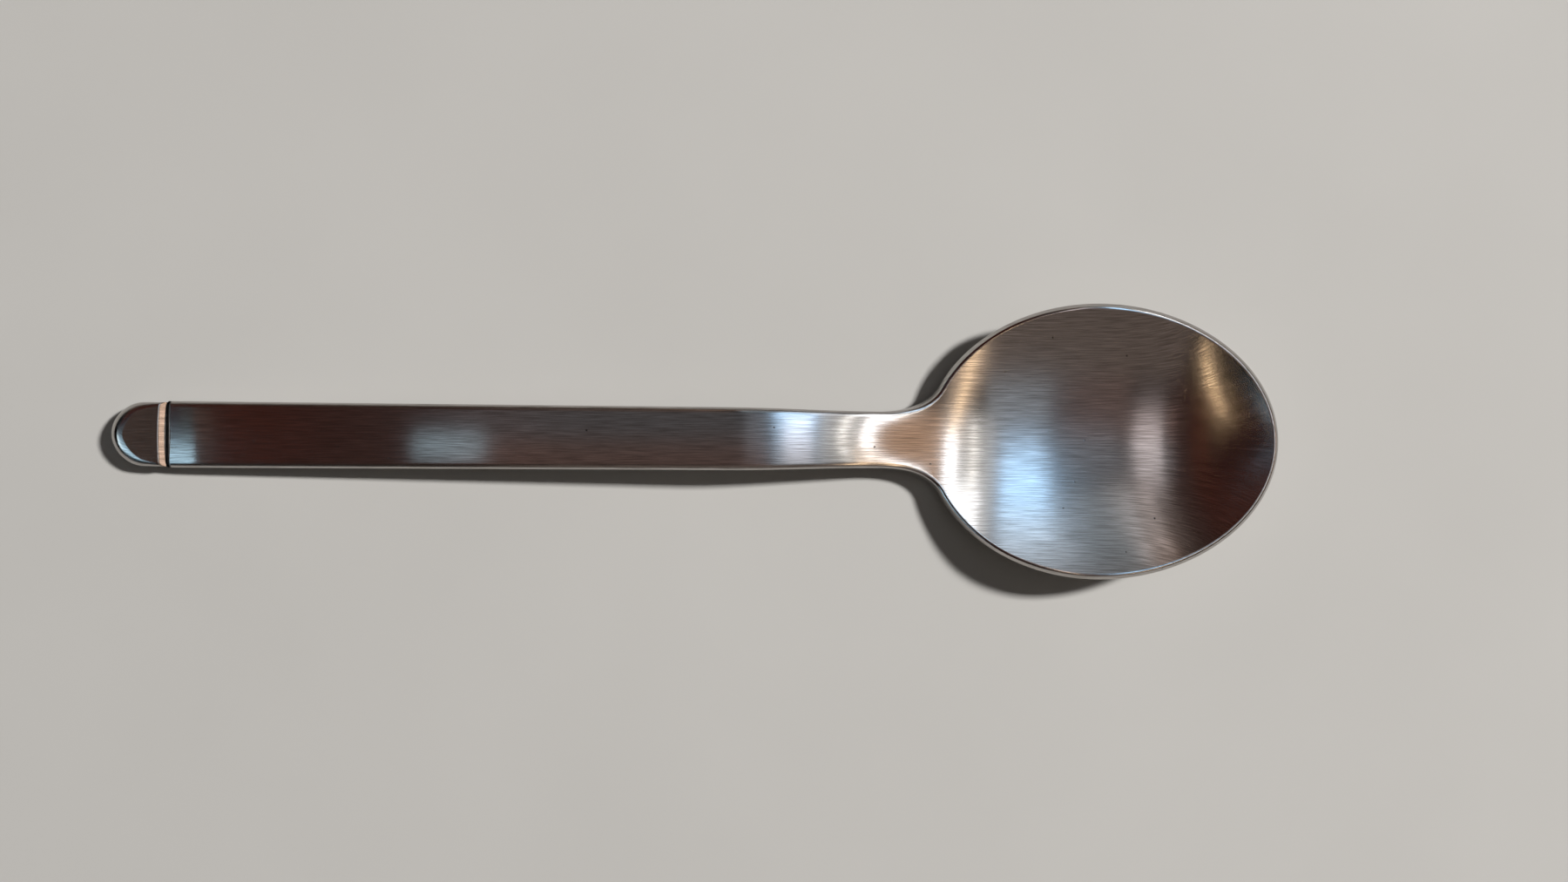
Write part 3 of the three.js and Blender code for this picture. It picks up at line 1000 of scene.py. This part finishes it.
@dataclass
class DowelPin(Piece):
    """A pin inside the metal that locates the cap, turned with a chamfer at both ends and ground round."""

    centre: tuple[float, float, float]
    diameter: float = 1.2
    length: float = 6.0
    chamfer: float = 0.15
    sides: int = 48

    def build(self) -> Object:
        """Turns the pin and sets its girth map so that the grinding lines go round it.

        Returns:
            The new object, riding on the frame in place of its solid.
        """
        radius = self.diameter / 2
        end = self.length / 2
        neck = radius - self.chamfer
        profile = ((-end, neck), (self.chamfer - end, radius), (end - self.chamfer, radius), (end, neck))
        turns = np.linspace(0, 2 * math.pi, self.sides, endpoint=False)
        mesh = bmesh.new()
        layer = mesh.loops.layers.uv.new(UV_NAME)
        rings = []
        for x, r in profile:
            spots = [Vector((x, r * math.cos(a), r * math.sin(a))) + Vector(self.centre) for a in turns]
            rings.append([mesh.verts.new(spot * MM) for spot in spots])
        for index, (near, far) in enumerate(zip(rings, rings[1:])):
            x, next_x = profile[index][0], profile[index + 1][0]
            for k in range(self.sides):
                after = (k + 1) % self.sides
                face = mesh.faces.new([near[k], far[k], far[after], near[after]])
                girth, next_girth = [radius * 2 * math.pi * n / self.sides for n in (k, k + 1)]
                corners = ((x, girth), (next_x, girth), (next_x, next_girth), (x, next_girth))
                for loop, corner in zip(face.loops, corners):
                    loop[layer].uv = corner
        for ring in (rings[0], rings[-1]):
            face = mesh.faces.new(ring)
            for loop in face.loops:
                loop[layer].uv = (loop.vert.co.y / MM, loop.vert.co.z / MM)
        return riding_piece(mesh, self.piece_name, self.node_name)


class Reach(Enum):
    """What a lamp is for: to be seen in the steel, or to light the floor and cast the shadow."""

    STEEL = "steel"
    FLOOR = "floor"


@dataclass(frozen=True)
class Softbox:
    """A band of even brightness that goes round the spoon's axis, made of flat diffusers in a row."""

    name: str
    lean: float  # degrees from the plane across the spoon towards +X
    swing: float  # degrees about the spoon's axis, from overhead towards +Y
    width: float  # degrees that it covers along the spoon
    sweep: float  # degrees that it covers about the spoon's axis
    colour: str
    level: float = 1.0  # brightness of its face, where 1 shows as its colour
    slant: float = 0.0  # degrees that it leans further for each degree of swing
    aim: float = 10.0  # place along the spoon that it faces
    distance: float = 3000.0
    reach: Reach = Reach.STEEL
    facet: float = 18.0  # widest sweep of one flat diffuser, in degrees
    dim_to: float = 1.0  # share of its brightness that is left at its ends

    def build(self) -> None:
        """Places the diffusers of the band."""
        count = math.ceil(self.sweep / self.facet)
        for k in range(count):
            share = (k + 0.5) / count - 0.5
            offset = self.sweep * share
            lean = math.radians(self.lean + self.slant * offset)
            swing = math.radians(self.swing + offset)
            level = between(self.dim_to, 1.0, math.cos(math.pi * share) ** 2)
            self.diffuser(f"{self.name}_{k}", lean, swing, math.radians(self.sweep / count), level)

    def diffuser(self, name: str, lean: float, swing: float, sweep: float, level: float) -> None:
        """Places one flat diffuser.

        Args:
            name: its name.
            lean: its lean towards +X, in radians.
            swing: its swing about the spoon's axis, in radians.
            sweep: share of the band that it covers, in radians.
            level: share of the band's brightness that it has.
        """
        across = math.cos(lean)
        towards = Vector((math.sin(lean), across * math.sin(swing), across * math.cos(swing)))
        wide = (Vector((1.0, 0.0, 0.0)) - towards * towards.x).normalized()
        basis = Matrix((wide, towards.cross(wide), towards)).transposed()
        turn = -math.atan(self.slant / across)
        span = 2 * self.distance * MM
        lamp = bpy.data.lights.new(name, "AREA")
        lamp.shape = "RECTANGLE"
        lamp.size = span * math.tan(math.radians(self.width / 2)) * math.cos(turn)
        lamp.size_y = span * math.tan(sweep * across / 2) / math.cos(turn)
        lamp.color = linear(self.colour)[:3]
        lamp.energy = level * self.level * math.pi * lamp.size * lamp.size_y
        placed = bpy.data.objects.new(name, lamp)
        placed.location = (Vector((self.aim, 0.0, 0.0)) + towards * self.distance) * MM
        placed.rotation_euler = (basis @ Matrix.Rotation(turn, 3, "Z")).to_euler()
        placed.visible_camera = False
        placed.visible_diffuse = self.reach is Reach.FLOOR
        placed.visible_glossy = self.reach is Reach.STEEL
        bpy.context.scene.collection.objects.link(placed)


@dataclass
class Studio:
    """Pale floor, dim warm room, softboxes and the camera above the spoon."""

    floor_radius: float = 2.5  # metres
    floor_sides: int = 96
    room: str = "14100e"
    camera_height: float = 195.0
    camera_x: float = 11.58
    camera_y: float = -0.227
    camera_turn: float = 0.0078  # radians about the line of sight
    lens: float = 37.14
    clip_start: float = 0.01  # metres
    softboxes: tuple[Softbox, ...] = (
        # The blue bands in the bowl and on the handle near the neck.
        Softbox("window", 11.1, 26, 7.4, 76, "9fd2ff", 2.8, facet=9, dim_to=0.04),
        Softbox("window_pale", 12.2, 15, 10.4, 106, "dee8f4", 0.55, dim_to=0.8),
        Softbox("window_top", 10.9, 56, 7.6, 26, "d6e6f4", 0.85),
        # The bright bands at the neck and where the bowl begins.
        Softbox("lamp_core", 28.2, 13, 3.4, 36, "f8faff", 4.4, facet=9),
        Softbox("lamp_top", 23.5, 52, 9, 44, "f4f9ff", 2.7, facet=9),
        Softbox("lamp_edge", 21.4, 10, 1.5, 40, "fdfbf6", 2.8, facet=9),
        Softbox("lamp_glow", 22, 24, 11, 80, "f4f6f6", 0.75, facet=9),
        Softbox("cream_strip", 23.2, -33, 1.6, 60, "ffdcae", 3.4, 0.19, facet=9),
        Softbox("cream_glow", 24, -30, 8, 50, "ffe3cc", 0.42, 0.19),
        Softbox("amber_wall", 35, 20, 9, 80, "ffd0ac", 0.72),
        # The streaks in the bowl's far half, the strip on the handle and soft light near them.
        Softbox("rose_panel", -9, 4, 7, 60, "fff6fa", 1.15, aim=55, distance=120, facet=9, dim_to=0.05),
        Softbox("rose_panel_far", -4.5, 41, 7, 34, "fff4f2", 0.5, aim=55, distance=120),
        Softbox("warm_patch", -4, 64, 9, 18, "ffc8a4", 0.14),
        Softbox("sky_patch", 2.5, 50, 8, 40, "dcebf6", 0.37),
        Softbox("strip_panel", -17.2, -7, 9.9, 17.5, "c6ecff", 0.6, aim=-26.4, distance=60),
        Softbox("far_strip", -27.4, -26.5, 0.7, 27, "ffdcae", 6.6, -0.36, aim=63, distance=50, facet=4.5),
        # The patch by the groove, the cap and the groove's light wall.
        Softbox("cool_end", -45.5, -24, 36, 34, "bce6ff", 1.9, aim=-60, distance=250),
        Softbox("pale_end", -57.5, -22, 12, 30, "fff2e0", 0.9, aim=-60, distance=250),
        Softbox("moss_end", -22, 0, 14, 50, "2b3632", aim=-66, distance=60),
        Softbox("beige_end", 69, 0, 14, 50, "ffdec6", 1.8, facet=50),
        # Dim walls that the rest of the steel mirrors.
        Softbox("slate_panel", -5.7, 10, 23.5, 22, "5a5c60"),
        Softbox("slate_patch", 3, 4, 6, 30, "62666e"),
        Softbox("dusk_panel", -9.5, 42, 11, 42, "5e524e"),
        Softbox("dusk_edge", -19, 12, 8, 100, "3e2a26"),
        Softbox("umber_panel", -5.7, -12, 23.5, 20, "6a554f"),
        Softbox("umber_low", 2.5, -30, 8, 17, "6e5a54"),
        Softbox("umber_dim", -9.5, -30, 16, 17, "302624"),
        Softbox("red_wall", -26.5, 15, 7, 96, "472118"),
        Softbox("red_wall_far", -41.5, 41.5, 23, 43, "472118"),
        Softbox("red_wall_dim", -41.5, -6.5, 23, 53, "301815"),
        Softbox("near_wall", 8, -60, 44, 44, "ffe6d8", 0.165),
        Softbox("near_wall_dim", -24, -60, 20, 44, "ffe6d8", 0.03),
        Softbox("far_wall", -12, 76, 80, 14, "ffe2cc", 0.15),
        # Light for the floor, with the shadow.
        Softbox("key", 45.2, 22.8, 7, 7, "ffffff", 420, reach=Reach.FLOOR),
        Softbox("fill", 0, 0, 60, 60, "fff8f0", 0.2, reach=Reach.FLOOR, facet=60),
    )

    def build(self) -> None:
        """Makes the floor, the room, the lamps and the camera."""
        self.floor()
        world = bpy.data.worlds.new("dim_room")
        bpy.context.scene.world = world
        world.use_nodes = True
        world.node_tree.nodes["Background"].inputs["Color"].default_value = linear(self.room)
        for softbox in self.softboxes:
            softbox.build()
        camera = bpy.data.cameras.new("camera")
        camera.lens = self.lens
        camera.clip_start = self.clip_start
        placed = bpy.data.objects.new("camera", camera)
        placed.location = Vector((self.camera_x, self.camera_y, self.camera_height)) * MM
        placed.rotation_euler = (0.0, 0.0, self.camera_turn)
        bpy.context.scene.collection.objects.link(placed)
        bpy.context.scene.camera = placed
        bpy.context.scene.view_settings.view_transform = "Standard"

    def floor(self) -> None:
        """Lays the round floor."""
        mesh = bmesh.new()
        bmesh.ops.create_circle(mesh, cap_ends=True, segments=self.floor_sides, radius=self.floor_radius)
        data = bpy.data.meshes.new("floor")
        mesh.to_mesh(data)
        mesh.free()
        data.materials.append(MattLaminate().material())
        floor = bpy.data.objects.new("floor", data)
        bpy.context.scene.collection.objects.link(floor)


def main() -> None:
    """Builds and dresses the spoon, then its surroundings."""
    logging.basicConfig(level=logging.INFO, format="%(name)s: %(message)s")
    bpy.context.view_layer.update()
    body = SpoonBody(
        node_name="spoon_body",
        piece_name="forged_body",
        slot=Slot.BODY,
        # Shade is painted into the groove's corner, up to -61.45 mm.
        finish=BrushedSteel("stainless_steel_belt_brushed", corner_shade_x=-61.45),
    )
    cap = EndCap(
        node_name="end_cap",
        piece_name="rounded_cap",
        slot=Slot.CAP,
        finish=BrushedSteel("stainless_steel_belt_brushed_cap", line_width=0.08, line_length=3.0),
    )
    pins = [
        DowelPin(
            node_name=f"dowel_pin_{side}",
            piece_name=f"ground_pin_{side}",
            slot=Slot.PIN,
            finish=BrushedSteel(f"hardened_steel_ground_{side}", line_width=0.06, line_length=2.0),
            centre=(body.x_joint, y, (body.end_thickness - body.groove_depth) / 2),
        )
        for side, y in (("left", body.dowel_spacing / 2), ("right", -body.dowel_spacing / 2))
    ]
    for part in (body, cap, *pins):
        piece = part.build()
        part.dress(piece)
        log.info("%s: %d faces", piece.name, len(piece.data.polygons))
    Studio().build()
    log.info("studio ready")


if __name__ == "__main__":
    main()
